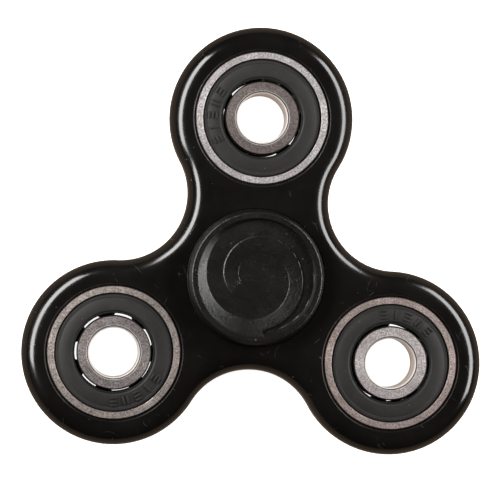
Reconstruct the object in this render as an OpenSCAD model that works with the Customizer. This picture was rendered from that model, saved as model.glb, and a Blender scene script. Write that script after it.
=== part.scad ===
// Three-lobed finger spinner. A moulded body turns on a centre ball bearing that is held between
// two swirl-faced finger caps, and each lobe carries a bearing of the same size as its weight.
// The origin is on the spin axis at mid thickness, +Z is up, and lobe 1 points along +Y.

/* [Body] */
// Distance from the spin axis to each lobe's axis
lobe_reach = 26; // [25.5:0.5:28]
// Outer radius of a lobe
lobe_r = 15; // [14:0.5:16]
// Thickness of the body
body_t = 7.6; // [7.4:0.1:9]
// Rounding of the body's long edges
body_round = 3; // [1:0.1:3.2]

/* [Bearings] */
// Bore of each bearing
bore_d = 8; // [7.9:0.05:8.1]
// Outside diameter of each bearing
bearing_d = 22; // [21.9:0.05:22.1]
// Width of each bearing
bearing_w = 7; // [6.9:0.05:7.1]
// Balls in each bearing
ball_count = 7; // [6:1:7]
// Diameter of a ball
ball_d = 3.97; // [3.9:0.01:4]

/* [Finger caps] */
// Diameter of a cap
cap_d = 22; // [20:0.5:24]
// Height of the whole spinner over both caps
overall_h = 13; // [12.4:0.1:14]
// Depth of the dish in a cap's face
dish_depth = 0.8; // [0.5:0.05:0.9]
// Depth of the swirl's step below the dish
swirl_step = 0.2; // [0.1:0.05:0.3]

/* [Hidden] */
$fn = 96;
tiny = 0.01; // how far a cutting shape runs past what it cuts

// Layout: the lobes and the bays between them sit on one hexagon's corners, so their arcs are tangent
lobe_angles = [90, 210, 330];
bay_r = lobe_reach - lobe_r;
bay_band_r = bay_r + body_round + 0.4; // far side of the rounded band along a bay
half_t = body_t / 2;
seat_ease = 0.3;

// Bearing rings
half_w = bearing_w / 2;
bore_r = bore_d / 2;
bearing_r = bearing_d / 2;
ring_chamfer = 0.3;
shoulder_r = 6.05; // outside of the inner ring
land_r = 8.9; // inside of the outer ring beside its raceway
recess_r = 9.65; // mouth of the seal recess
snap_r = 9.9; // groove that holds the seal's bead
ball_r = ball_d / 2;
pitch_r = (bore_r + bearing_r) / 2;
race_gap = 0.05; // running clearance between a ball and each raceway
groove_r = 0.52 * ball_d;
inner_race_r = pitch_r - ball_r - race_gap + groove_r;
outer_race_r = pitch_r + ball_r + race_gap - groove_r;

// Cage of two pressed halves
sheet = 0.35;
cage_in = 6.55;
cage_out = 8.4;
pocket_r = ball_r + 0.08;
rivet_r = 0.35;
rivet_head_r = 0.6;
rivet_head_h = 0.25;
ball_step = 360 / ball_count;

// Seal
seal_in = 6.35;
seal_face_z = half_w - 0.3;
seal_back_z = half_w - 0.85;

// Cap
cap_r = cap_d / 2;
cap_top = overall_h / 2;
cap_under = half_t + 0.5; // the disc clears the turning body
collar_r = 5.8; // rests on the inner ring's face and nothing else
stem_end = 0.2;
stem_hollow_r = 2.5;
stem_floor = 4.6;
cap_round = 0.8;
dish_r = 9.65;
dish_wall_r = 9.3; // where the dish's steep edge meets its shallow floor
dish_wall_drop = 0.3;

// Swirl: two spiral arms that start at a notch near the dish's edge, in degrees from that notch
notch_angle = 278;
swirl_pitch = 5.2;
outer_arm_r = 9.05;
outer_arm_hold = 204; // the outer arm follows the dish's edge this far
inner_arm_r = 8.5;
arm_end_r = 2.3;

bearing_names = ["center", "lobe1", "lobe2", "lobe3"];
bearing_parts = ["outer_ring", "inner_ring", "upper_seal", "lower_seal", "upper_cage", "lower_cage", "cage_rivets"];
ball_parts = [for (i = [1:ball_count]) str("ball_", i)];

function on_circle(r, a) = [r * cos(a), r * sin(a)];
function bearing_at(i) = i == 0 ? [0, 0] : on_circle(lobe_reach, lobe_angles[i - 1]);

// Radius of each arm of the swirl at angle a from the notch
function outer_arm(a) = a < outer_arm_hold ? outer_arm_r : outer_arm_r - swirl_pitch * (a - outer_arm_hold) / 360;
function inner_arm(a) = inner_arm_r - swirl_pitch * a / 360;
outer_arm_turn = outer_arm_hold + 360 * (outer_arm_r - arm_end_r) / swirl_pitch;
inner_arm_turn = 360 * (inner_arm_r - arm_end_r) / swirl_pitch;

// ---- Body ----

// Slice from x to a rounded rim at r, where the rim may face away from the axis or towards it
module rimmed_slice(x, r) {
    straight = half_t - body_round;
    inset = r > x ? r - body_round : r + body_round;
    intersection() {
        union() {
            translate([min(x, inset), -half_t]) square([abs(inset - x), body_t]);
            translate([min(x, r), -straight]) square([abs(r - x), 2 * straight]);
            for (s = [-1, 1]) translate([inset, s * straight]) circle(body_round);
        }
        translate([min(x, r), -half_t]) square([abs(r - x), body_t]);
    }
}

// Half profile of the through hole for a bearing, eased at both faces
module seat_profile() {
    ease_z = half_t - seat_ease;
    mouth_r = bearing_r + seat_ease;
    polygon([
        [0, -half_t - 1], [mouth_r, -half_t - 1], [mouth_r, -half_t], [bearing_r, -ease_z],
        [bearing_r, ease_z], [mouth_r, half_t], [mouth_r, half_t + 1], [0, half_t + 1]
    ]);
}

// Moves in two steps, a coarse and a fine one, so that neighbouring sectors meet on one plane
module move_to(p) {
    coarse = [for (v = p) round(v * 1000) / 1000];
    translate(coarse) translate(p - coarse) children();
}

// Flat middle of the body, cut back where the rounded bays run and bored for the four bearings
module core() {
    difference() {
        linear_extrude(body_t, center = true) difference() {
            circle(lobe_reach, $fn = 6);
            for (a = [60:120:300]) move_to(on_circle(lobe_reach, a)) circle(bay_band_r - 0.3);
        }
        rotate_extrude() seat_profile();
        for (a = [0:120:240]) move_to(on_circle(lobe_reach, a)) rotate_extrude() seat_profile();
    }
}

// Drawn with a lobe along +X, then turned so that lobe 1 points along +Y
module body() {
    color([0.05, 0.05, 0.05])
    rotate([0, 0, 90]) {
        core();
        for (a = [60:120:300]) move_to(on_circle(lobe_reach, a))
            rotate_extrude(angle = 120, start = a + 120) rimmed_slice(bay_band_r, bay_r);
        for (a = [0:120:240]) move_to(on_circle(lobe_reach, a))
            rotate_extrude(angle = 240, start = a - 120) difference() {
                rimmed_slice(bearing_r - 1, lobe_r);
                seat_profile();
            }
    }
}

// ---- Bearings ----

module inner_ring() {
    c = ring_chamfer;
    color([0.62, 0.59, 0.57])
    rotate_extrude() difference() {
        polygon([
            [bore_r, -half_w + c], [bore_r + c, -half_w], [shoulder_r - c, -half_w], [shoulder_r, -half_w + c],
            [shoulder_r, half_w - c], [shoulder_r - c, half_w], [bore_r + c, half_w], [bore_r, half_w - c]
        ]);
        translate([inner_race_r, 0]) circle(groove_r);
    }
}

module outer_ring() {
    c = ring_chamfer;
    half_outline = [
        [bearing_r, half_w - c], [bearing_r - c, half_w], [recess_r + 0.1, half_w], [recess_r, half_w - 0.1],
        [recess_r, seal_face_z - 0.08], [snap_r, seal_face_z - 0.2], [snap_r, seal_back_z], [land_r, seal_back_z - 0.1]
    ];
    last = len(half_outline) - 1;
    color([0.66, 0.63, 0.61])
    rotate_extrude() difference() {
        polygon(concat(half_outline, [for (i = [last:-1:0]) [half_outline[i][0], -half_outline[i][1]]]));
        translate([outer_race_r, 0]) circle(groove_r);
    }
}

// Rubber seal with its outer bead snapped into the outer ring and its lip just clear of the inner ring
module upper_seal() {
    color([0.12, 0.12, 0.125])
    rotate_extrude() polygon([
        [seal_in, seal_back_z + 0.05], [seal_in, seal_face_z - 0.25], [seal_in + 0.15, seal_face_z - 0.18],
        [7.0, seal_face_z], [9.3, seal_face_z], [9.5, seal_face_z - 0.1], [9.55, seal_face_z - 0.2],
        [snap_r - 0.05, seal_face_z - 0.25], [snap_r - 0.05, seal_back_z + 0.03],
        [9.5, seal_back_z], [seal_in + 0.2, seal_back_z]
    ]);
}

// Half of the ribbon cage: a flat ring with a round pocket pressed over each ball
module upper_cage() {
    color([0.55, 0.52, 0.45])
    difference() {
        intersection() {
            union() {
                cylinder(r = cage_out + 1, h = sheet);
                for (i = [0:ball_count - 1])
                    translate([each on_circle(pitch_r, i * ball_step), 0]) sphere(pocket_r + sheet);
            }
            difference() {
                cylinder(r = cage_out, h = half_w);
                translate([0, 0, -1]) cylinder(r = cage_in, h = half_w + 2);
            }
        }
        for (i = [0:ball_count - 1]) {
            translate([each on_circle(pitch_r, i * ball_step), 0]) sphere(pocket_r);
            translate([each on_circle(pitch_r, (i + 0.5) * ball_step), -1]) cylinder(r = rivet_r, h = 2);
        }
    }
}

module cage_rivets() {
    color([0.6, 0.58, 0.52])
    for (i = [0:ball_count - 1])
        translate([each on_circle(pitch_r, (i + 0.5) * ball_step), 0]) {
            cylinder(r = rivet_r, h = 2 * sheet, center = true);
            for (s = [0, 1]) mirror([0, 0, s])
                translate([0, 0, sheet]) cylinder(r1 = rivet_head_r, r2 = rivet_head_r - 0.2, h = rivet_head_h);
        }
}

module ball(i) {
    color([0.8, 0.8, 0.82])
    translate([each on_circle(pitch_r, (i - 1) * ball_step), 0]) sphere(ball_r);
}

// ---- Finger caps ----

// Plan of the sunk arm, which runs between the swirl's two lines
module swirl_plan() {
    step = 12;
    rim = [for (a = [0:step:outer_arm_turn]) on_circle(outer_arm(a), notch_angle + a)];
    heart = [for (a = [floor(inner_arm_turn / step) * step:-step:0]) on_circle(inner_arm(a), notch_angle + a)];
    polygon(concat(rim, heart));
}

module top_cap() {
    face = cap_top - cap_round;
    floor_z = cap_top - dish_depth;
    color([0.09, 0.09, 0.095])
    difference() {
        rotate_extrude() {
            difference() {
                union() {
                    translate([0, cap_under]) square([cap_r, face - cap_under]);
                    translate([0, cap_under]) square([cap_r - cap_round, cap_top - cap_under]);
                    translate([cap_r - cap_round, face]) circle(cap_round);
                }
                polygon([
                    [-1, cap_top + 1], [dish_r, cap_top + 1], [dish_r, cap_top],
                    [dish_wall_r, cap_top - dish_wall_drop], [5, floor_z + 0.12], [0, floor_z], [-1, floor_z]
                ]);
            }
            translate([0, half_w]) square([collar_r, cap_under - half_w]);
            translate([0, stem_end]) square([bore_r, half_w - stem_end]);
        }
        translate([0, 0, -1]) cylinder(r = stem_hollow_r, h = stem_floor + 1);
        intersection() {
            translate([0, 0, floor_z - swirl_step]) linear_extrude(dish_depth) swirl_plan();
            dish_floor_cut();
        }
    }
}

// Space just under the dish's floor, so that the sunk arm keeps one depth
module dish_floor_cut() {
    floor_z = cap_top - dish_depth - swirl_step;
    rotate_extrude() polygon([
        [0, floor_z], [5, floor_z + 0.12], [dish_wall_r, cap_top - dish_wall_drop - swirl_step],
        [dish_wall_r + 0.1, cap_top], [0, cap_top]
    ]);
}

// ---- Assembly ----

body();
top_cap();
rotate([180, 0, 0]) top_cap();  // bottom_cap
for (b = [0:3]) translate(bearing_at(b)) {
    name = bearing_names[b];
    outer_ring();
    inner_ring();
    upper_seal();
    mirror([0, 0, 1]) upper_seal();
    upper_cage();
    mirror([0, 0, 1]) upper_cage();
    cage_rivets();
    for (i = [1:ball_count])
        ball(i);
}
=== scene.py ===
import math

import bpy
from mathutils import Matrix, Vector


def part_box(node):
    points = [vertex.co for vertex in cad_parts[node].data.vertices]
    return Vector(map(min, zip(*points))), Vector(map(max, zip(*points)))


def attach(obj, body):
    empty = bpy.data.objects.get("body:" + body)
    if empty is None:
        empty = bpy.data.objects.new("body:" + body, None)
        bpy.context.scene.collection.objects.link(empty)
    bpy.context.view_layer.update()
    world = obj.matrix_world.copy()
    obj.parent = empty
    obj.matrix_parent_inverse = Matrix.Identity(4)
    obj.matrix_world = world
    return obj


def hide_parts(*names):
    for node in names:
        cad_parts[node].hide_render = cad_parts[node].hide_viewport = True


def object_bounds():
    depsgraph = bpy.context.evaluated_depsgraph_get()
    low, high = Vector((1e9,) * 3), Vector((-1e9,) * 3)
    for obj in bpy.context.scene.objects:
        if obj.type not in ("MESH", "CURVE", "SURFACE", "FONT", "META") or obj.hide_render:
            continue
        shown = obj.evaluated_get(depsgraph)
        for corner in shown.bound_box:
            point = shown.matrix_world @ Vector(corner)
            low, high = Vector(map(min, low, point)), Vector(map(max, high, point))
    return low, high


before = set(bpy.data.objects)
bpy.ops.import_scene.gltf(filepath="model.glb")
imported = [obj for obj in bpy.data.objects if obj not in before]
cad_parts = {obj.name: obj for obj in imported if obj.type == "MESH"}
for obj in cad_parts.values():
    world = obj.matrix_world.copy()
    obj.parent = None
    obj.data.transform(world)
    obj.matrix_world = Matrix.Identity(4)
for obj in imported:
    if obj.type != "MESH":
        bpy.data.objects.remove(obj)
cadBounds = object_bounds()
mm = 0.001
print("frame loaded:", len(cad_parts), "nodes")

# bearing centres, read from the frame: the hub first and then the three lobes
bearingNames = ["center", "lobe1", "lobe2", "lobe3"]


def nodeCentre(nodeName):
    low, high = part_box(nodeName)
    return (low + high) / 2


centres = {name: nodeCentre(name + "_outer_ring") for name in bearingNames}
lobeReach = centres["lobe1"].length


def deselectAll():
    if bpy.context.object and bpy.context.object.mode == 'EDIT':
        bpy.ops.object.mode_set(mode='OBJECT')
    bpy.ops.object.select_all(action='DESELECT')


def startCircle(name, segments, radius, place, turn=(0, 0, 0)):
    deselectAll()
    bpy.ops.mesh.primitive_circle_add(vertices=segments, radius=radius * mm, location=place, rotation=turn)
    piece = bpy.context.object
    piece.name = piece.data.name = name
    bpy.ops.object.transform_apply(location=True, rotation=True, scale=True)
    return piece


# pulls the selected ring out to each next (radius, height) of the profile, in millimetres
def turnProfile(centre, profile):
    for (r0, z0), (r1, z1) in zip(profile, profile[1:]):
        bpy.ops.mesh.extrude_edges_move()
        if abs(r1 - r0) > 1e-6:
            bpy.ops.transform.resize(value=(r1 / r0, r1 / r0, 1), center_override=centre)
        if abs(z1 - z0) > 1e-6:
            bpy.ops.transform.translate(value=(0, 0, (z1 - z0) * mm))


def closeMesh(smoothAngle):
    bpy.ops.mesh.select_all(action='SELECT')
    bpy.ops.mesh.remove_doubles(threshold=0.002 * mm)
    bpy.ops.mesh.normals_make_consistent(inside=False)
    bpy.ops.object.mode_set(mode='OBJECT')
    bpy.ops.object.shade_smooth_by_angle(angle=math.radians(smoothAngle))


# a closed ring turned from an outline whose last point meets its first
def turnedRing(name, centre, profile, segments, smoothAngle=32):
    r0, z0 = profile[0]
    piece = startCircle(name, segments, r0, (centre.x, centre.y, z0 * mm))
    bpy.ops.object.mode_set(mode='EDIT')
    bpy.ops.mesh.select_all(action='SELECT')
    turnProfile(centre, profile + profile[:1])
    closeMesh(smoothAngle)
    return piece


# points along an arc of a profile, both ends included, angles in degrees
def arcPoints(cx, cz, radius, start, end, steps):
    angles = [math.radians(start + (end - start) * i / steps) for i in range(steps + 1)]
    return [(cx + radius * math.cos(a), cz + radius * math.sin(a)) for a in angles]


# a copy with its own mesh, moved by the offset and turned about its own axis there
def copyPiece(piece, name, offset=(0, 0, 0), turn=0, flip=False):
    deselectAll()
    copy = piece.copy()
    copy.data = piece.data.copy()
    copy.name = copy.data.name = name
    bpy.context.collection.objects.link(copy)
    copy.select_set(True)
    bpy.context.view_layer.objects.active = copy
    copy.rotation_euler = (math.pi if flip else 0, 0, turn)
    copy.location = offset
    bpy.ops.object.transform_apply(location=True, rotation=True, scale=True)
    return copy


# keeps each point's place round its own bearing, in millimetres, for grain that follows the turning;
# the shift gives each bearing its own part of the grain
def storeTurnedPlace(piece, centre, shift):
    layer = piece.data.attributes.new("turnedPlace", 'FLOAT_VECTOR', 'POINT')
    for vertex, item in zip(piece.data.vertices, layer.data):
        item.vector = (vertex.co - Vector((centre.x, centre.y, 0))) / mm
        item.vector.z += shift


def addNode(tree, kind, **settings):
    node = tree.nodes.new(kind)
    for key, value in settings.items():
        setattr(node, key, value)
    return node


# puts values on a node's inputs; a socket is linked and anything else is set
def feed(tree, node, inputs):
    for key, value in inputs.items():
        if isinstance(value, bpy.types.NodeSocket):
            tree.links.new(value, node.inputs[key])
        else:
            node.inputs[key].default_value = value
    return node


def math1(tree, operation, *values, clamp=False):
    node = addNode(tree, 'ShaderNodeMath', operation=operation, use_clamp=clamp)
    return feed(tree, node, dict(enumerate(values))).outputs[0]


def rampValue(tree, value, fromLow, fromHigh, toLow=0.0, toHigh=1.0, smooth=False):
    node = addNode(tree, 'ShaderNodeMapRange', interpolation_type='SMOOTHSTEP' if smooth else 'LINEAR')
    return feed(tree, node, {"Value": value, "From Min": fromLow, "From Max": fromHigh,
                             "To Min": toLow, "To Max": toHigh}).outputs["Result"]


def mixColours(tree, mask, first, second):
    node = addNode(tree, 'ShaderNodeMix', data_type='RGBA')
    for index, value in ((0, mask), (6, first), (7, second)):
        if isinstance(value, bpy.types.NodeSocket):
            tree.links.new(value, node.inputs[index])
        else:
            node.inputs[index].default_value = value
    return node.outputs[2]


def grey(value, warmth=0.0):
    return (value * (1 + warmth), value, value * (1 - warmth), 1)


def newGroup(name, inputs, outputs):
    tree = bpy.data.node_groups.new(name, 'ShaderNodeTree')
    for label, kind, value in inputs:
        socket = tree.interface.new_socket(name=label, in_out='INPUT', socket_type=kind)
        if value is not None:
            socket.default_value = value
    for label in outputs:
        tree.interface.new_socket(name=label, in_out='OUTPUT', socket_type='NodeSocketFloat')
    ins = tree.nodes.new('NodeGroupInput')
    outs = tree.nodes.new('NodeGroupOutput')
    return tree, ins.outputs, outs.inputs


def useGroup(tree, group, **inputs):
    node = addNode(tree, 'ShaderNodeGroup', node_tree=group)
    return feed(tree, node, {key.replace("_", " "): value for key, value in inputs.items()}).outputs


# fine moulded or blasted grain, with a slow unevenness under it
def makeFineGrain():
    tree, ins, outs = newGroup("fineGrain", [
        ("Vector", 'NodeSocketVector', None), ("Grain Scale", 'NodeSocketFloat', 9.0),
        ("Cloud Scale", 'NodeSocketFloat', 0.2)], ["Grain", "Cloud"])
    grain = feed(tree, addNode(tree, 'ShaderNodeTexNoise'), {
        "Vector": ins["Vector"], "Scale": ins["Grain Scale"], "Detail": 2.0, "Roughness": 0.6})
    cloud = feed(tree, addNode(tree, 'ShaderNodeTexNoise'), {
        "Vector": ins["Vector"], "Scale": ins["Cloud Scale"], "Detail": 4.0, "Roughness": 0.62})
    tree.links.new(rampValue(tree, grain.outputs[0], 0.3, 0.7), outs["Grain"])
    tree.links.new(rampValue(tree, cloud.outputs[0], 0.32, 0.68, smooth=True), outs["Cloud"])
    return tree


# short hairline scratches: the edges of large cells, broken up so that only pieces of them show
def makeHairlines():
    tree, ins, outs = newGroup("hairlines", [
        ("Vector", 'NodeSocketVector', None), ("Cell Scale", 'NodeSocketFloat', 0.16),
        ("Width", 'NodeSocketFloat', 0.004), ("Amount", 'NodeSocketFloat', 0.1)], ["Mask"])
    bent = feed(tree, addNode(tree, 'ShaderNodeTexNoise'), {"Vector": ins["Vector"], "Scale": 0.08})
    wobble = feed(tree, addNode(tree, 'ShaderNodeVectorMath', operation='SCALE'), {
        0: bent.outputs["Color"], "Scale": 9.0})
    moved = feed(tree, addNode(tree, 'ShaderNodeVectorMath', operation='ADD'), {
        0: ins["Vector"], 1: wobble.outputs[0]})
    cells = feed(tree, addNode(tree, 'ShaderNodeTexVoronoi', feature='DISTANCE_TO_EDGE'), {
        "Vector": moved.outputs[0], "Scale": ins["Cell Scale"], "Randomness": 1.0})
    line = math1(tree, 'LESS_THAN', cells.outputs["Distance"], ins["Width"])
    breaks = feed(tree, addNode(tree, 'ShaderNodeTexNoise'), {
        "Vector": ins["Vector"], "Scale": 0.45, "Detail": 2.0})
    start = math1(tree, 'SUBTRACT', 0.72, ins["Amount"])
    keep = rampValue(tree, breaks.outputs[0], start, math1(tree, 'ADD', start, 0.1), smooth=True)
    tree.links.new(math1(tree, 'MULTIPLY', line, keep), outs["Mask"])
    return tree


# scattered specks of dust, each cell keeping or losing its speck by chance
def makeDust():
    tree, ins, outs = newGroup("dustSpecks", [
        ("Vector", 'NodeSocketVector', None), ("Speck Scale", 'NodeSocketFloat', 0.9),
        ("Size", 'NodeSocketFloat', 0.14), ("Amount", 'NodeSocketFloat', 0.12)], ["Mask"])
    cells = feed(tree, addNode(tree, 'ShaderNodeTexVoronoi'), {
        "Vector": ins["Vector"], "Scale": ins["Speck Scale"], "Randomness": 1.0})
    chance = addNode(tree, 'ShaderNodeSeparateColor')
    tree.links.new(cells.outputs["Color"], chance.inputs[0])
    speck = math1(tree, 'LESS_THAN', cells.outputs["Distance"],
                  math1(tree, 'MULTIPLY', ins["Size"], chance.outputs[1]))
    keep = math1(tree, 'LESS_THAN', chance.outputs[0], ins["Amount"])
    tree.links.new(math1(tree, 'MULTIPLY', speck, keep), outs["Mask"])
    return tree


# lines and blotches that run round a turned face, from a place held in millimetres
def makeTurnedGrain():
    tree, ins, outs = newGroup("turnedGrain", [
        ("Vector", 'NodeSocketVector', None), ("Line Scale", 'NodeSocketFloat', 14.0),
        ("Along Scale", 'NodeSocketFloat', 3.0)], ["Lines", "Blotch", "Radius"])
    flat = feed(tree, addNode(tree, 'ShaderNodeVectorMath', operation='MULTIPLY'), {
        0: ins["Vector"], 1: (1, 1, 0)})
    length = feed(tree, addNode(tree, 'ShaderNodeVectorMath', operation='LENGTH'), {0: flat.outputs[0]})
    radius = length.outputs["Value"]
    heading = feed(tree, addNode(tree, 'ShaderNodeVectorMath', operation='NORMALIZE'), {0: flat.outputs[0]})
    around = feed(tree, addNode(tree, 'ShaderNodeVectorMath', operation='SCALE'), {
        0: heading.outputs[0], "Scale": ins["Along Scale"]})
    split = addNode(tree, 'ShaderNodeSeparateXYZ')
    tree.links.new(around.outputs[0], split.inputs[0])
    joined = feed(tree, addNode(tree, 'ShaderNodeCombineXYZ'), {
        0: split.outputs[0], 1: split.outputs[1], 2: math1(tree, 'MULTIPLY', radius, ins["Line Scale"])})
    lines = feed(tree, addNode(tree, 'ShaderNodeTexNoise'), {
        "Vector": joined.outputs[0], "Scale": 1.0, "Detail": 3.0, "Roughness": 0.65})
    blotch = feed(tree, addNode(tree, 'ShaderNodeTexNoise'), {
        "Vector": ins["Vector"], "Scale": 2.2, "Detail": 5.0, "Roughness": 0.7})
    tree.links.new(rampValue(tree, lines.outputs[0], 0.3, 0.7), outs["Lines"])
    tree.links.new(rampValue(tree, blotch.outputs[0], 0.33, 0.67), outs["Blotch"])
    tree.links.new(radius, outs["Radius"])
    return tree


fineGrain = makeFineGrain()
hairlines = makeHairlines()
dustSpecks = makeDust()
turnedGrain = makeTurnedGrain()


def startMaterial(name, place="Object"):
    material = bpy.data.materials.new(name)
    material.use_nodes = True
    tree = material.node_tree
    shader = tree.nodes["Principled BSDF"]
    if place == "Object":
        vector = feed(tree, addNode(tree, 'ShaderNodeVectorMath', operation='SCALE'), {
            0: tree.nodes.new('ShaderNodeTexCoord').outputs["Object"], "Scale": 1 / mm}).outputs[0]
    else:
        vector = addNode(tree, 'ShaderNodeAttribute', attribute_name=place).outputs["Vector"]
    return material, tree, shader, vector


def addBump(tree, shader, height, strength, distance):
    bump = feed(tree, addNode(tree, 'ShaderNodeBump'), {
        "Height": height, "Strength": strength, "Distance": distance * mm})
    tree.links.new(bump.outputs[0], shader.inputs["Normal"])


def paint(piece, material):
    piece.data.materials.clear()
    piece.data.materials.append(material)


body = {
    "lobeRadius": 15.0,
    "rounding": 3.0,
    "halfThickness": 3.8,
    "partingDepth": 0.02,
    "partingHalf": 0.03,
    "flatRunOn": 0.15,
    "roundSteps": 18,
    "seatRadius": 11.0,
    "seatEase": 0.3,
    "seatSegments": 160,
    "lobeSteps": 120,
    "baySteps": 56,
    "colour": 0.0031,
    "roughness": 0.14,
}


# counter-clockwise turn of the selected outline about a centre
def spinOutline(centre, degrees, steps):
    bpy.ops.mesh.spin(steps=steps, angle=math.radians(degrees), center=centre, axis=(0, 0, -1))


def polar(radius, degrees):
    return Vector((radius * math.cos(math.radians(degrees)), radius * math.sin(math.radians(degrees)), 0))


# the rim's section is spun round the outline, and the flats are filled between it and the four seats
def makeBody():
    reach = lobeReach
    straight = body["halfThickness"] - body["rounding"]
    rimY = -body["lobeRadius"] * mm  # the lower bay's edge
    insideY = rimY + body["rounding"] * mm
    piece = startCircle("bodyShell", body["roundSteps"] * 4, body["rounding"],
                        (0, insideY, 0), (math.pi / 2, 0, math.pi / 2))
    mesh = piece.data
    # keep the half that faces away from the axis and part it at the middle for the straight side
    bpy.ops.object.mode_set(mode='EDIT')
    bpy.ops.mesh.select_all(action='SELECT')
    bpy.ops.mesh.bisect(plane_co=(0, insideY + 1e-7, 0), plane_no=(0, 1, 0), clear_outer=True)
    bpy.ops.object.mode_set(mode='OBJECT')
    for vertex in mesh.vertices:
        side = 0 if abs(vertex.co.z) < 1e-7 else math.copysign(1, vertex.co.z)
        vertex.co.z += side * straight * mm
        if side == 0:
            vertex.co.y += body["partingDepth"] * mm
    bpy.ops.object.mode_set(mode='EDIT')
    # edges beside the parting line: split the straight side near the middle
    for side in (1, -1):
        for place in (body["partingHalf"], straight):
            bpy.ops.mesh.select_all(action='SELECT')
            bpy.ops.mesh.bisect(plane_co=(0, 0, side * place * mm), plane_no=(0, 0, 1))
    bpy.ops.object.mode_set(mode='OBJECT')
    for vertex in mesh.vertices:
        if 1e-6 < abs(vertex.co.z) <= (straight + 1e-4) * mm:
            vertex.co.y = rimY
    # the two ends run on a little over the flats, so that the flats keep their own normal
    bpy.ops.object.mode_set(mode='EDIT')
    bpy.ops.mesh.select_all(action='DESELECT')
    bpy.ops.object.mode_set(mode='OBJECT')
    for vertex in mesh.vertices:
        vertex.select = abs(abs(vertex.co.z) - body["halfThickness"] * mm) < 1e-7
    bpy.ops.object.mode_set(mode='EDIT')
    bpy.ops.mesh.extrude_vertices_move(TRANSFORM_OT_translate={"value": (0, body["flatRunOn"] * mm, 0)})
    # round the outline: half a bay, then lobes and bays by turns, and the other half bay
    bpy.ops.mesh.select_all(action='SELECT')
    spinOutline(polar(reach, 270), -60, body["baySteps"] // 2)
    for lobeAngle in (330, 90, 210):
        spinOutline(polar(reach, lobeAngle), 240, body["lobeSteps"])
        share = 2 if lobeAngle == 210 else 1  # the last bay is a half one
        spinOutline(polar(reach, lobeAngle + 60), -120 / share, body["baySteps"] // share)
    bpy.ops.mesh.select_all(action='SELECT')
    bpy.ops.mesh.remove_doubles(threshold=0.002 * mm)
    # the four bearing seats, eased at both faces
    seat = body["seatRadius"]
    ease = body["seatEase"]
    top = body["halfThickness"]
    seatOutline = [(seat + ease, top), (seat + ease * 0.3, top - ease * 0.7), (seat, top - ease * 1.4),
                   (seat, -top + ease * 1.4), (seat + ease * 0.3, -top + ease * 0.7), (seat + ease, -top)]
    for centre in centres.values():
        bpy.ops.mesh.select_all(action='DESELECT')
        bpy.ops.mesh.primitive_circle_add(vertices=body["seatSegments"], radius=seatOutline[0][0] * mm,
                                          location=(centre.x, centre.y, top * mm))
        turnProfile(centre, seatOutline)
    # the two flats, each filled between the rim and the seats
    for side in (1, -1):
        bpy.ops.mesh.select_all(action='DESELECT')
        bpy.ops.mesh.select_mode(type='EDGE')
        bpy.ops.mesh.select_non_manifold(extend=False, use_wire=True, use_boundary=True,
                                         use_multi_face=False, use_non_contiguous=False, use_verts=False)
        bpy.ops.object.mode_set(mode='OBJECT')
        for edge in mesh.edges:
            height = (mesh.vertices[edge.vertices[0]].co.z + mesh.vertices[edge.vertices[1]].co.z) / 2
            if height * side < 0:
                edge.select = False
        bpy.ops.object.mode_set(mode='EDIT')
        bpy.ops.mesh.fill(use_beauty=True)
    bpy.ops.mesh.select_mode(type='VERT')
    closeMesh(30)
    return piece


def bodyMaterial():
    material, tree, shader, vector = startMaterial("glossBlackPlastic")
    grain = useGroup(tree, fineGrain, Vector=vector, Grain_Scale=5.2, Cloud_Scale=0.12)
    scratch = useGroup(tree, hairlines, Vector=vector, Cell_Scale=0.16, Width=0.004, Amount=0.15)
    dust = useGroup(tree, dustSpecks, Vector=vector, Speck_Scale=0.9, Size=0.13, Amount=0.16)
    lint = useGroup(tree, hairlines, Vector=vector, Cell_Scale=0.5, Width=0.01, Amount=0.06)
    marks = math1(tree, 'MAXIMUM', math1(tree, 'MULTIPLY', dust["Mask"], 0.6),
                  math1(tree, 'MULTIPLY', scratch["Mask"], 0.3))
    marks = math1(tree, 'MAXIMUM', marks, math1(tree, 'MULTIPLY', lint["Mask"], 0.4))
    clean = mixColours(tree, grain["Cloud"], grey(body["colour"], 0.08), grey(body["colour"] * 1.5, 0.1))
    tree.links.new(mixColours(tree, marks, clean, grey(0.09, 0.04)), shader.inputs["Base Color"])
    rough = rampValue(tree, grain["Cloud"], 0, 1, body["roughness"] - 0.02, body["roughness"] + 0.05)
    rough = math1(tree, 'ADD', rough, math1(tree, 'MULTIPLY', marks, 0.35))
    tree.links.new(rough, shader.inputs["Roughness"])
    height = math1(tree, 'ADD', math1(tree, 'MULTIPLY', grain["Grain"], 0.14), grain["Cloud"])
    height = math1(tree, 'SUBTRACT', height, math1(tree, 'MULTIPLY', scratch["Mask"], 0.5))
    addBump(tree, shader, height, 0.25, 0.012)
    shader.inputs["IOR"].default_value = 1.5
    return material


bodyShell = makeBody()
paint(bodyShell, bodyMaterial())
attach(bodyShell, "frame")
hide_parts("body")
print("body made:", len(bodyShell.data.polygons), "faces")


rings = {
    "halfWidth": 3.5,
    "boreRadius": 4.0,
    "leadIn": 0.48,
    "edgeRound": 0.1,
    "shoulderRadius": 6.05,
    "outerRadius": 11.0,
    "chamfer": 0.34,
    "recessRadius": 9.65,
    "snapRadius": 9.9,
    "landRadius": 8.9,
    "recessFoot": 3.12,
    "snapTop": 3.0,
    "snapFoot": 2.65,
    "landTop": 2.55,
    "grooveRadius": 2.064,
    "innerGrooveCentre": 7.529,
    "outerGrooveCentre": 7.471,
    "segments": 176,
    "modelTurn": 1.9,
    "grainStep": 40,
    # bands of oil and painted shade in the chamfers and the gaps beside the seals: from one radius to
    # another, and how strong
    "oilAndShadeBands": [(4.2, 4.4, 1.0), (5.82, 6.6, 1.0), (9.6, 9.68, 0.8), (10.72, 10.99, 0.85)],
    "steelBright": (0.80, 0.76, 0.74, 1),
    "steelOiledAndShaded": (0.045, 0.04, 0.036, 1),
}


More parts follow.
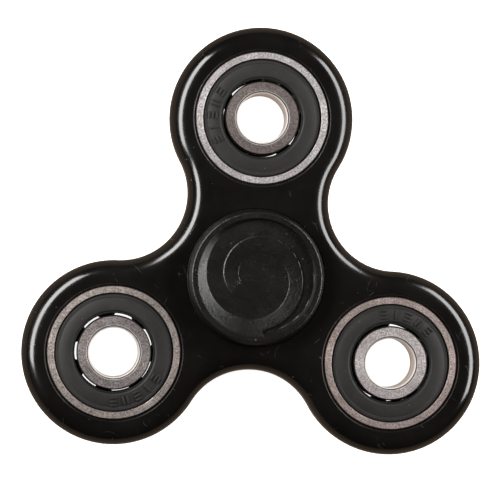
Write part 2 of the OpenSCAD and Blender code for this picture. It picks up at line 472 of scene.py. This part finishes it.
# ball groove in a ring's wall, from its upper lip down to the middle
def grooveHalf(centreR, wallR, steps=8):
    lip = math.degrees(math.acos((wallR - centreR) / rings["grooveRadius"]))
    end = 0 if wallR > centreR else 180
    return arcPoints(centreR, 0, rings["grooveRadius"], lip, end, steps)


def innerRingOutline():
    top, bore, c, e = rings["halfWidth"], rings["boreRadius"], rings["leadIn"], rings["edgeRound"]
    shoulder = rings["shoulderRadius"]
    half = [(bore, 0), (bore, top - c - 0.22)]
    half += arcPoints(bore + 0.2, top - c - 0.2, 0.2, 180, 140, 3)
    # the lead-in ends in a small polished round that carries the bright line
    half += arcPoints(bore + c - 0.05, top - e, e, 142, 90, 6)
    half += [(bore + c, top), (bore + c + 0.05, top)]
    half += [(shoulder - 0.29, top), (shoulder - 0.24, top), (shoulder - 0.22, top - 0.015)]
    half += [(shoulder - 0.02, top - 0.22), (shoulder, top - 0.3)]
    half += grooveHalf(rings["innerGrooveCentre"], shoulder)
    return half


def outerRingOutline():
    top, outer, c = rings["halfWidth"], rings["outerRadius"], rings["chamfer"]
    half = [(outer, 0), (outer, top - c - 0.05)]
    half += [(outer - 0.02, top - c + 0.02), (outer - c + 0.02, top - 0.03)]
    half += [(outer - c, top), (outer - c - 0.06, top)]
    recess, snap, land = rings["recessRadius"], rings["snapRadius"], rings["landRadius"]
    half += [(recess + 0.12, top), (recess + 0.06, top), (recess + 0.01, top - 0.04), (recess, top - 0.1)]
    # the mouth for the seal, the groove that its bead snaps into, and the land beside the ball groove
    half += [(recess, rings["recessFoot"]), (snap, rings["snapTop"]), (snap, rings["snapFoot"]),
             (land, rings["landTop"])]
    half += grooveHalf(rings["outerGrooveCentre"], land)
    return half


# both halves of an outline that starts and ends at mid height, without repeating the middle points
def wholeOutline(half):
    return half + [(r, -z) for r, z in reversed(half[1:-1])]


def ringMaterial(name, grindingAndLitTone, roughness):
    material, tree, shader, vector = startMaterial(name, "turnedPlace")
    turned = useGroup(tree, turnedGrain, Vector=vector, Line_Scale=grindingAndLitTone["lines"], Along_Scale=6.0)
    fine = useGroup(tree, fineGrain, Vector=vector, Grain_Scale=4.2, Cloud_Scale=0.3)
    scratch = useGroup(tree, hairlines, Vector=vector, Cell_Scale=0.2, Width=0.006, Amount=0.05)
    dust = useGroup(tree, dustSpecks, Vector=vector, Speck_Scale=1.6, Size=0.2, Amount=0.22)
    sharp = rampValue(tree, fine["Grain"], 0.22, 0.78)
    streaks = math1(tree, 'MULTIPLY', turned["Lines"], turned["Blotch"])
    # painted light and shade: each bearing's own dark and light tones make its rings lighter or darker as the
    # light falls on that bearing
    tone = mixColours(tree, sharp, grindingAndLitTone["dark"], grindingAndLitTone["light"])
    tone = mixColours(tree, math1(tree, 'MULTIPLY', streaks, 0.6), tone, grindingAndLitTone["light"])
    tone = mixColours(tree, math1(tree, 'MULTIPLY', fine["Cloud"], 0.45), tone, grindingAndLitTone["dark"])
    worn = math1(tree, 'MULTIPLY', scratch["Mask"], 0.8)
    tone = mixColours(tree, worn, tone, rings["steelBright"])
    # painted highlight: the lead-in and the wall of the bore are painted bright and less metallic, as a
    # painted glare of the white floor; then bands of oil and painted shade in the edges of the chamfers and
    # in the gaps beside the seals
    radius = turned["Radius"]
    bore = rings["boreRadius"]
    leadIn = bore + rings["leadIn"]
    # painted highlight: a bright band over the bore wall and lead-in, standing in for a glare of the white
    # floor
    paintedGlare = rampValue(tree, radius, leadIn - 0.06, leadIn, 1.0, 0.0)
    tone = mixColours(tree, paintedGlare, tone, rings["steelBright"])
    # painted shade: near-black bands in the chamfers and the gaps beside the seals, partly oil and partly
    # painted shade
    for low, high, depth in rings["oilAndShadeBands"]:
        oiledAndShaded = math1(tree, 'MULTIPLY', math1(tree, 'GREATER_THAN', radius, low),
                      math1(tree, 'LESS_THAN', radius, high))
        tone = mixColours(tree, math1(tree, 'MULTIPLY', oiledAndShaded, depth), tone, rings["steelOiledAndShaded"])
    spots = math1(tree, 'MULTIPLY', dust["Mask"], 0.7)
    tree.links.new(mixColours(tree, spots, tone, (0.12, 0.10, 0.09, 1)), shader.inputs["Base Color"])
    rough = rampValue(tree, fine["Grain"], 0, 1, roughness + 0.07, roughness - 0.05)
    rough = math1(tree, 'SUBTRACT', rough, math1(tree, 'MULTIPLY', worn, 0.12))
    tree.links.new(rough, shader.inputs["Roughness"])
    glareNonMetal = rampValue(tree, radius, bore + 0.03, bore + 0.06, 0.12, 0.5)  # painted glare: the lead-in loses half its metal, the wall stays nearly plain metal
    soft = math1(tree, 'MAXIMUM', spots, math1(tree, 'MULTIPLY', paintedGlare, glareNonMetal))
    tree.links.new(math1(tree, 'SUBTRACT', 1.0, soft), shader.inputs["Metallic"])
    height = math1(tree, 'ADD', math1(tree, 'MULTIPLY', turned["Lines"], 0.8), fine["Grain"])
    height = math1(tree, 'SUBTRACT', height, scratch["Mask"])
    addBump(tree, shader, height, 0.8, 0.018)
    return material


# each bearing has its own grinding lines and its own dark and light tones; the tones are painted light and
# shade, copies of one steel made lighter or darker by how the light falls on each bearing
outerGrindingAndLitTones = {
    "center": {"lines": 14.0, "dark": (0.3, 0.25, 0.235, 1), "light": (0.55, 0.48, 0.46, 1)},
    "lobe1": {"lines": 12.0, "dark": (0.3, 0.27, 0.265, 1), "light": (0.92, 0.88, 0.875, 1)},
    "lobe2": {"lines": 14.0, "dark": (0.16, 0.137, 0.125, 1), "light": (0.68, 0.60, 0.555, 1)},
    "lobe3": {"lines": 16.0, "dark": (0.22, 0.172, 0.16, 1), "light": (0.68, 0.56, 0.53, 1)},
}
innerGrindingAndLitTones = {
    "center": {"lines": 9.0, "dark": (0.15, 0.13, 0.12, 1), "light": (0.34, 0.3, 0.28, 1)},
    "lobe1": {"lines": 9.0, "dark": (0.12, 0.10, 0.094, 1), "light": (0.42, 0.36, 0.34, 1)},
    "lobe2": {"lines": 20.0, "dark": (0.12, 0.106, 0.103, 1), "light": (0.47, 0.42, 0.41, 1)},
    "lobe3": {"lines": 12.0, "dark": (0.36, 0.315, 0.31, 1), "light": (0.95, 0.88, 0.87, 1)},
}
ringKinds = {
    "outer": {"outline": outerRingOutline(), "grindingAndLitTones": outerGrindingAndLitTones, "roughness": 0.46, "grainShift": 0},
    "inner": {"outline": innerRingOutline(), "grindingAndLitTones": innerGrindingAndLitTones, "roughness": 0.44, "grainShift": 20},
}
for side, kind in ringKinds.items():
    kind["model"] = turnedRing(side + "RingModel", centres["center"], wholeOutline(kind["outline"]),
                               rings["segments"])
for index, name in enumerate(bearingNames):
    for side, kind in ringKinds.items():
        ring = copyPiece(kind["model"], f"{name}_{side}_ring_turned", centres[name],
                         turn=index * rings["modelTurn"])
        storeTurnedPlace(ring, centres[name], rings["grainStep"] * index + kind["grainShift"])
        paint(ring, ringMaterial(f"{name}{side.capitalize()}Steel", kind["grindingAndLitTones"][name], kind["roughness"]))
        innerRider = "hub" if name == "center" else name + "_hub"
        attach(ring, "frame" if side == "outer" else innerRider)
        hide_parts(f"{name}_{side}_ring")
for kind in ringKinds.values():
    bpy.data.objects.remove(kind["model"])
print("rings made")


seals = {
    "innerRadius": 6.35,
    "lineRadius": 8.78,
    "beadRadius": 9.3,
    "outerRadius": 9.85,
    "faceZ": 3.2,
    "backZ": 2.65,
    "segments": 160,
    "markRadius": 8.0,
    "markHeight": 0.2,
    "markEdge": 0.09,
    "marks": ["rungs", "pair", "rungs", "bar", "rungs"],
    "markStart": {"center": 90, "lobe1": 150, "lobe2": 272, "lobe3": 42},
    "markStep": 14.5,
    "grainStep": 33,
    "colour": 0.0082,
}


def sealOutline():
    face, back, inner = seals["faceZ"], seals["backZ"], seals["innerRadius"]
    outline = [(inner, back + 0.08)]
    outline += arcPoints(inner + 0.13, face - 0.26, 0.13, 180, 90, 5)
    outline += [(inner + 0.3, face - 0.15), (inner + 0.42, face - 0.05)]
    outline += arcPoints(inner + 0.6, face - 0.12, 0.12, 110, 90, 2)
    line, bead, outer = seals["lineRadius"], seals["beadRadius"], seals["outerRadius"]
    outline += [(line, face), (line + 0.06, face - 0.035), (line + 0.12, face - 0.035),
                (line + 0.18, face + 0.01), (bead - 0.1, face + 0.01)]
    outline += arcPoints(bead, face - 0.17, 0.18, 90, 20, 5)
    outline += [(bead + 0.25, face - 0.22), (outer, face - 0.25), (outer, back + 0.03),
                (bead + 0.2, back), (inner + 0.2, back)]
    return outline


# one raised mark: a bar, a pair of bars or three rungs, at +X
def makeMark(kind):
    deselectAll()
    radius, lift = seals["markRadius"], seals["markHeight"]
    shapes = {
        "bar": [(0, 0, 1.5, 0.36)],
        "pair": [(0, -0.34, 1.5, 0.32), (0, 0.34, 1.5, 0.32)],
        "rungs": [(-0.6, 0, 0.32, 1.1), (0, 0, 0.32, 1.1), (0.6, 0, 0.32, 1.1)],
    }[kind]
    made = []
    for x, y, length, width in shapes:
        bpy.ops.mesh.primitive_cube_add(size=1, location=((radius + x) * mm, y * mm, seals["faceZ"] * mm))
        mark = bpy.context.object
        mark.dimensions = (length * mm, width * mm, 2 * lift * mm)
        bpy.ops.object.transform_apply(location=True, rotation=True, scale=True)
        bpy.ops.object.mode_set(mode='EDIT')
        bpy.ops.mesh.select_all(action='SELECT')
        bpy.ops.mesh.bevel(offset=seals["markEdge"] * mm, segments=3, affect='EDGES')
        bpy.ops.object.mode_set(mode='OBJECT')
        made.append(mark)
    for mark in made:
        mark.select_set(True)
    bpy.ops.object.join()
    return bpy.context.object


def makeSeal():
    seal = turnedRing("sealModel", centres["center"], sealOutline(), seals["segments"])
    marks = []
    for step, kind in enumerate(seals["marks"]):
        mark = makeMark(kind)
        mark.rotation_euler.z = math.radians(step * seals["markStep"])
        bpy.ops.object.transform_apply(location=True, rotation=True, scale=True)
        marks.append(mark)
    deselectAll()
    for mark in marks:
        mark.select_set(True)
    seal.select_set(True)
    bpy.context.view_layer.objects.active = seal
    bpy.ops.object.join()
    bpy.ops.object.shade_smooth_by_angle(angle=math.radians(32))
    return seal


def sealMaterial():
    material, tree, shader, vector = startMaterial("sealRubber", "turnedPlace")
    turned = useGroup(tree, turnedGrain, Vector=vector, Line_Scale=7.0, Along_Scale=1.6)
    fine = useGroup(tree, fineGrain, Vector=vector, Grain_Scale=5.0, Cloud_Scale=0.35)
    dust = useGroup(tree, dustSpecks, Vector=vector, Speck_Scale=1.5, Size=0.16, Amount=0.16)
    film = math1(tree, 'MULTIPLY', turned["Blotch"], fine["Cloud"])
    colour = seals["colour"]
    tone = mixColours(tree, film, grey(colour, 0.06), grey(colour * 1.7, 0.08))
    tone = mixColours(tree, math1(tree, 'MULTIPLY', turned["Lines"], 0.35), tone, grey(colour * 2.2))
    tone = mixColours(tree, math1(tree, 'MULTIPLY', fine["Grain"], 0.4), tone, grey(colour * 2.4, 0.05))
    # grease and shade in the lip beside the inner ring
    inner = seals["innerRadius"]
    lip = rampValue(tree, turned["Radius"], inner + 0.34, inner + 0.5, 0.9, 0.0)
    tone = mixColours(tree, lip, tone, grey(0.0008))
    tree.links.new(mixColours(tree, math1(tree, 'MULTIPLY', dust["Mask"], 0.6), tone, grey(0.11, 0.04)),
                   shader.inputs["Base Color"])
    tree.links.new(rampValue(tree, film, 0, 1, 0.5, 0.62), shader.inputs["Roughness"])
    height = math1(tree, 'ADD', math1(tree, 'MULTIPLY', turned["Lines"], 0.5), fine["Grain"])
    addBump(tree, shader, height, 0.7, 0.016)
    shader.inputs["Specular IOR Level"].default_value = 0.3
    return material


rubber = sealMaterial()
sealModel = makeSeal()
for index, name in enumerate(bearingNames):
    turn = math.radians(seals["markStart"][name])
    for part, flip in (("upper_seal", False), ("lower_seal", True)):
        seal = copyPiece(sealModel, f"{name}_{part}_moulded", centres[name], turn=turn, flip=flip)
        storeTurnedPlace(seal, centres[name], seals["grainStep"] * index)
        paint(seal, rubber)
        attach(seal, "frame")
        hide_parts(f"{name}_{part}")
bpy.data.objects.remove(sealModel)
print("seals made")


caps = {
    "radius": 11.0,
    "topZ": 6.5,
    "edgeRound": 0.3,
    "underZ": 4.3,
    "collarRadius": 5.8,
    "collarZ": 3.5,
    "stemRadius": 4.0,
    "stemEndZ": 0.2,
    "hollowRadius": 2.5,
    "hollowZ": 4.6,
    "dishRadius": 9.6,
    "rimDepth": 0.7,
    "middleDepth": 0.8,
    "notchAngle": 278,
    "ringStep": 0.09,
    "channelColumns": 92,
    "armColumns": 96,
    "lip": 0.05,
    "crestChamfer": 0.045,
    "colour": 0.0034,
    "roughness": 0.265,
}

# the swirl's two lines: radius in millimetres at each turn in degrees from the notch
outerLine = [(0, 8.9), (82, 9.3), (172, 9.31), (262, 8.22), (352, 6.8), (442, 5.25), (532, 4.03), (622, 2.97),
             (660, 2.18)]
innerLine = [(0, 8.56), (82, 7.43), (172, 6.71), (262, 5.32), (352, 3.52), (442, 2.25)]
# height of the step along the inner line, as a share of the dish's depth
crestShare = [(0, 0.371), (200, 0.8), (350, 0.9), (442, 1.0)]


# smooth value of a table at x, with even slopes through its points
def along(table, x):
    x = min(max(x, table[0][0]), table[-1][0])
    last = len(table) - 1
    i = max(k for k in range(last) if table[k][0] <= x)
    (x0, y0), (x1, y1) = table[i], table[i + 1]
    before = table[i - 1] if i > 0 else table[i]
    after = table[i + 2] if i + 2 <= last else table[i + 1]
    m0 = (y1 - before[1]) / (x1 - before[0])
    m1 = (after[1] - y0) / (after[0] - x0)
    t, h = (x - x0) / (x1 - x0), x1 - x0
    return (y0 * (1 + 2 * t) * (1 - t) ** 2 + m0 * h * t * (1 - t) ** 2
            + y1 * t * t * (3 - 2 * t) + m1 * h * t * t * (t - 1))


# turn at which a falling line reaches a radius, held at the line's two ends
def turnAt(table, radius, low):
    high = table[-1][0]
    if radius >= along(table, low):
        return low
    if radius <= along(table, high):
        return high
    for _ in range(30):
        middle = (low + high) / 2
        if along(table, middle) > radius:
            low = middle
        else:
            high = middle
    return low


def dishFloor(radius):
    share = min(radius / caps["dishRadius"], 1)
    return -caps["middleDepth"] + (caps["middleDepth"] - caps["rimDepth"]) * share * share


# height of the sloping arm at a turn of up to two rounds and a bit
def armHeight(radius, turn):
    floor = dishFloor(radius)
    inside = along(outerLine, turn)
    if turn <= 360:
        edge, crest = caps["dishRadius"], 0.0
    else:
        edge = along(innerLine, turn - 360)
        crest = dishFloor(edge) * along(crestShare, turn - 360)
    if edge - inside < 0.05:
        return floor
    share = min(max((radius - inside) / (edge - inside), 0), 1)
    lip = caps["lip"] if turn < 640 else 0
    return floor + lip + (crest - floor - lip) * share


# height of the level channel, which has the dish's steep edge on its outside for its first part
def channelHeight(radius, turn):
    floor = dishFloor(radius)
    foot = along(outerLine, turn)
    if turn >= 172 or radius <= foot:
        return floor
    share = min((radius - foot) / (caps["dishRadius"] - foot), 1)
    return floor * (1 - share)


# columns round one ring of the face: (turn in degrees, height), the channel first and then the arm
def ringColumns(radius):
    wall = turnAt(innerLine, radius, 0)
    kink = turnAt(outerLine, radius, 172)
    onSpiral = radius < innerLine[0][1]
    foot = 4.85 if onSpiral else 0.4
    shoulder = 7.0 if onSpiral else 0.4
    columns = []
    first, last = wall + foot, kink - 5.0
    for i in range(caps["channelColumns"]):
        turn = first + (last - first) * i / (caps["channelColumns"] - 1)
        columns.append((turn, channelHeight(radius, turn)))
    first, last = kink, wall + 360 - shoulder
    for i in range(caps["armColumns"]):
        turn = first + (last - first) * i / (caps["armColumns"] - 1)
        columns.append((turn, armHeight(radius, turn)))
    top = armHeight(radius, wall + 360)
    floor = dishFloor(radius)
    columns.append((wall + 360, max(top - caps["crestChamfer"], floor) if onSpiral else top))
    return columns


def capOutline():
    top, radius, e = caps["topZ"], caps["radius"], caps["edgeRound"]
    dish = caps["dishRadius"]
    faceRings = int(dish / caps["ringStep"])
    outline = [(dish * i / faceRings, top) for i in range(1, faceRings + 1)]
    faceCount = len(outline)
    outline += [(dish + 0.06, top), (radius - 0.72, top)]
    outline += arcPoints(radius - 0.68, top - e, e, 90, 22, 10)
    outline += [(radius - 0.12, top - 1.0), (radius, top - 1.3)]
    under, collar, stem = caps["underZ"], caps["collarRadius"], caps["stemRadius"]
    outline += arcPoints(radius - 0.15, under + 0.15, 0.15, 0, -90, 4)
    outline += [(collar + 0.1, under), (collar, under - 0.1), (collar, caps["collarZ"] + 0.06),
                (collar - 0.06, caps["collarZ"]), (stem, caps["collarZ"])]
    end, hollow, roof = caps["stemEndZ"], caps["hollowRadius"], caps["hollowZ"]
    outline += [(stem, end + 0.25), (stem - 0.25, end), (hollow + 0.12, end), (hollow, end + 0.12),
                (hollow, roof), (0.2, roof)]
    return outline, faceCount


def makeCap(name):
    outline, faceCount = capOutline()
    columnCount = caps["channelColumns"] + caps["armColumns"] + 1
    piece = startCircle(name, columnCount, outline[0][0], (0, 0, outline[0][1] * mm))
    bpy.ops.object.mode_set(mode='EDIT')
    bpy.ops.mesh.select_all(action='SELECT')
    bpy.ops.mesh.edge_face_add()
    bpy.ops.mesh.poke()  # the middle of the face, a fan of triangles
    bpy.ops.mesh.select_all(action='DESELECT')
    bpy.ops.object.mode_set(mode='OBJECT')
    for vertex in piece.data.vertices:
        vertex.select = vertex.co.xy.length > outline[0][0] * mm * 0.5
    for edge in piece.data.edges:
        edge.select = all(piece.data.vertices[i].select for i in edge.vertices)
    bpy.ops.object.mode_set(mode='EDIT')
    turnProfile(Vector((0, 0, 0)), outline)
    bpy.ops.mesh.edge_face_add()
    bpy.ops.mesh.select_all(action='SELECT')
    bpy.ops.mesh.remove_doubles(threshold=0.002 * mm)
    bpy.ops.object.mode_set(mode='OBJECT')
    # the face's rings take the swirl: each column goes to its own turn and height
    faceRings = {}
    for i, (radius, _) in enumerate(outline[:faceCount]):
        faceRings[i + 1] = ringColumns(radius)
    rimColumns = ringColumns(caps["dishRadius"])
    step = caps["dishRadius"] / faceCount
    for vertex in piece.data.vertices:
        radius = vertex.co.xy.length / mm
        if radius < 0.01:
            if vertex.co.z > (caps["topZ"] - 0.01) * mm:
                vertex.co.z += dishFloor(0) * mm
            continue
        column = round(math.degrees(math.atan2(vertex.co.y, vertex.co.x)) / 360 * columnCount) % columnCount
        onFace = vertex.co.z > (caps["topZ"] - 0.001) * mm and radius < caps["dishRadius"] + 0.01
        columns = faceRings[min(round(radius / step), faceCount)] if onFace else rimColumns
        turn, height = columns[column]
        angle = math.radians(caps["notchAngle"] + turn)
        vertex.co.x = radius * math.cos(angle) * mm
        vertex.co.y = radius * math.sin(angle) * mm
        if onFace:
            vertex.co.z += height * mm
    bpy.ops.object.mode_set(mode='EDIT')
    closeMesh(38)
    return piece


def capMaterial():
    material, tree, shader, vector = startMaterial("satinCapPlastic")
    grain = useGroup(tree, fineGrain, Vector=vector, Grain_Scale=4.6, Cloud_Scale=0.2)
    scratch = useGroup(tree, hairlines, Vector=vector, Cell_Scale=0.3, Width=0.006, Amount=0.08)
    dust = useGroup(tree, dustSpecks, Vector=vector, Speck_Scale=1.1, Size=0.15, Amount=0.2)
    marks = math1(tree, 'MAXIMUM', dust["Mask"], math1(tree, 'MULTIPLY', scratch["Mask"], 0.3))
    colour = caps["colour"]
    clean = mixColours(tree, grain["Grain"], grey(colour * 0.8, 0.06), grey(colour * 2.2, 0.08))
    tree.links.new(mixColours(tree, marks, clean, grey(0.07)), shader.inputs["Base Color"])
    rough = rampValue(tree, grain["Cloud"], 0, 1, caps["roughness"] - 0.03, caps["roughness"] + 0.05)
    tree.links.new(rough, shader.inputs["Roughness"])
    height = math1(tree, 'ADD', grain["Grain"], math1(tree, 'MULTIPLY', scratch["Mask"], -0.4))
    addBump(tree, shader, height, 0.9, 0.029)
    return material


satinPlastic = capMaterial()
topCap = makeCap("topCapSwirl")
bottomCap = copyPiece(topCap, "bottomCapSwirl", flip=True)
for cap, node in ((topCap, "top_cap"), (bottomCap, "bottom_cap")):
    paint(cap, satinPlastic)
    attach(cap, "hub")
    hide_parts(node)
print("caps made:", len(topCap.data.polygons), "faces each")


insides = {
    "cage": (0.46, 0.42, 0.36, 1),
    "cageDark": (0.30, 0.27, 0.22, 1),
    "rivet": (0.55, 0.52, 0.46, 1),
    "ball": (0.78, 0.78, 0.80, 1),
    "ballStain": (0.62, 0.62, 0.65, 1),
}


def cageMaterial():
    material, tree, shader, vector = startMaterial("pressedCageSteel")
    grain = useGroup(tree, fineGrain, Vector=vector, Grain_Scale=6.0, Cloud_Scale=0.42)
    scratch = useGroup(tree, hairlines, Vector=vector, Cell_Scale=0.7, Width=0.02, Amount=0.2)
    tone = mixColours(tree, grain["Cloud"], insides["cageDark"], insides["cage"])
    tree.links.new(tone, shader.inputs["Base Color"])
    tree.links.new(rampValue(tree, grain["Grain"], 0, 1, 0.32, 0.46), shader.inputs["Roughness"])
    shader.inputs["Metallic"].default_value = 1.0
    addBump(tree, shader, math1(tree, 'SUBTRACT', grain["Grain"], scratch["Mask"]), 0.3, 0.01)
    return material


def rivetMaterial():
    material, tree, shader, vector = startMaterial("headedRivetSteel")
    grain = useGroup(tree, fineGrain, Vector=vector, Grain_Scale=8.0, Cloud_Scale=0.9)
    tone = mixColours(tree, grain["Cloud"], insides["cageDark"], insides["rivet"])
    tree.links.new(tone, shader.inputs["Base Color"])
    tree.links.new(rampValue(tree, grain["Cloud"], 0, 1, 0.26, 0.42), shader.inputs["Roughness"])
    shader.inputs["Metallic"].default_value = 1.0
    addBump(tree, shader, grain["Grain"], 0.3, 0.008)
    return material


def ballMaterial():
    material, tree, shader, vector = startMaterial("polishedBallSteel")
    grain = useGroup(tree, fineGrain, Vector=vector, Grain_Scale=3.0, Cloud_Scale=0.6)
    scratch = useGroup(tree, hairlines, Vector=vector, Cell_Scale=0.9, Width=0.012, Amount=0.2)
    tone = mixColours(tree, grain["Cloud"], insides["ball"], insides["ballStain"])
    tree.links.new(tone, shader.inputs["Base Color"])
    rough = math1(tree, 'ADD', rampValue(tree, grain["Cloud"], 0, 1, 0.05, 0.12),
                  math1(tree, 'MULTIPLY', scratch["Mask"], 0.2))
    tree.links.new(rough, shader.inputs["Roughness"])
    shader.inputs["Metallic"].default_value = 1.0
    addBump(tree, shader, math1(tree, 'MULTIPLY', scratch["Mask"], -1.0), 0.15, 0.004)
    return material


insideMaterials = {"cage_rivets": rivetMaterial(), "cage": cageMaterial(), "ball": ballMaterial()}
for nodeName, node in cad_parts.items():
    for part, material in insideMaterials.items():
        if part in nodeName:
            for slot in node.material_slots:
                slot.material = material
            break
print("cages, rivets and balls painted")


# reach is how far out a softbox stands and height is how far up, in metres; the floor shows white to the
# eye and gives back a weaker, warmer light; the view's place is in millimetres and its turn in degrees
studio = {
    "floorSize": 2.4,
    "left": {"azimuth": 158, "reach": 0.162, "height": 0.13, "size": (0.236, 0.074),
             "radiance": 15.5, "colour": (1, 0.99, 0.975)},
    "right": {"azimuth": 15.5, "reach": 0.165, "height": 0.094, "size": (0.25, 0.066),
              "radiance": 12.0, "colour": (1, 0.99, 0.98)},
    "world": 0.012,
    "floorDrop": 0.02,
    "floorGlow": 1.0,
    "floorColour": (0.8, 0.8, 0.8, 1),
    "floorReturn": (0.62, 0.46, 0.34, 1),
    "floorReturnStrength": 0.5,
}
view = {
    "lens": 187.2,
    "place": (-29.05, -5.26, 424.5),
    "turn": (1.1645, -3.8426, 2.3255),
}


def makeFloor():
    deselectAll()
    lowest = cadBounds[0].z - studio["floorDrop"] * mm
    bpy.ops.mesh.primitive_plane_add(size=studio["floorSize"], location=(0, 0, lowest))
    floor = bpy.context.object
    floor.name = "floorSheet"
    bpy.ops.object.transform_apply(location=True, rotation=True, scale=True)
    material = bpy.data.materials.new("paleFloorSheet")
    material.use_nodes = True
    tree = material.node_tree
    tree.nodes.clear()
    path = tree.nodes.new('ShaderNodeLightPath')
    glow = feed(tree, addNode(tree, 'ShaderNodeEmission'), {
        "Color": (1, 1, 1, 1), "Strength": studio["floorGlow"]})
    matt = feed(tree, addNode(tree, 'ShaderNodeBsdfDiffuse'), {"Color": studio["floorColour"]})
    seen = addNode(tree, 'ShaderNodeAddShader')
    tree.links.new(glow.outputs[0], seen.inputs[0])
    tree.links.new(matt.outputs[0], seen.inputs[1])
    warm = feed(tree, addNode(tree, 'ShaderNodeEmission'), {
        "Color": studio["floorReturn"], "Strength": studio["floorReturnStrength"]})
    mix = addNode(tree, 'ShaderNodeMixShader')
    tree.links.new(path.outputs["Is Camera Ray"], mix.inputs[0])
    tree.links.new(warm.outputs[0], mix.inputs[1])
    tree.links.new(seen.outputs[0], mix.inputs[2])
    out = tree.nodes.new('ShaderNodeOutputMaterial')
    tree.links.new(mix.outputs[0], out.inputs["Surface"])
    floor.data.materials.append(material)


def addSoftbox(name):
    box = studio[name]
    a = math.radians(box["azimuth"])
    place = Vector((math.cos(a) * box["reach"], math.sin(a) * box["reach"], box["height"]))
    light = bpy.data.lights.new(name + "Softbox", 'AREA')
    light.shape = 'RECTANGLE'
    light.size, light.size_y = box["size"]
    light.energy = box["radiance"] * math.pi * light.size * light.size_y
    light.color = box["colour"]
    holder = bpy.data.objects.new(name + "Softbox", light)
    holder.location = place
    holder.rotation_euler = (-place).to_track_quat('-Z', 'Y').to_euler()
    holder.visible_camera = False
    bpy.context.collection.objects.link(holder)


def addCamera():
    camera = bpy.data.cameras.new("viewCamera")
    camera.lens = view["lens"]
    camera.sensor_width = 36
    camera.clip_start, camera.clip_end = 0.01, 10
    holder = bpy.data.objects.new("viewCamera", camera)
    holder.location = [value * mm for value in view["place"]]
    holder.rotation_euler = [math.radians(angle) for angle in view["turn"]]
    bpy.context.collection.objects.link(holder)
    bpy.context.scene.camera = holder


# a dark room that only looks white to the eye, so that the softboxes shape the highlights
def makeRoom():
    world = bpy.data.worlds.new("darkRoom")
    world.use_nodes = True
    room = world.node_tree
    path = room.nodes.new('ShaderNodeLightPath')
    shade = mixColours(room, path.outputs["Is Camera Ray"], grey(studio["world"]), grey(1.0))
    feed(room, room.nodes["Background"], {"Color": shade, "Strength": 1.0})
    bpy.context.scene.world = world


makeFloor()
for name in ("left", "right"):
    addSoftbox(name)
addCamera()
makeRoom()
bpy.context.scene.view_settings.view_transform = 'Standard'
print("floor, lights and camera set")
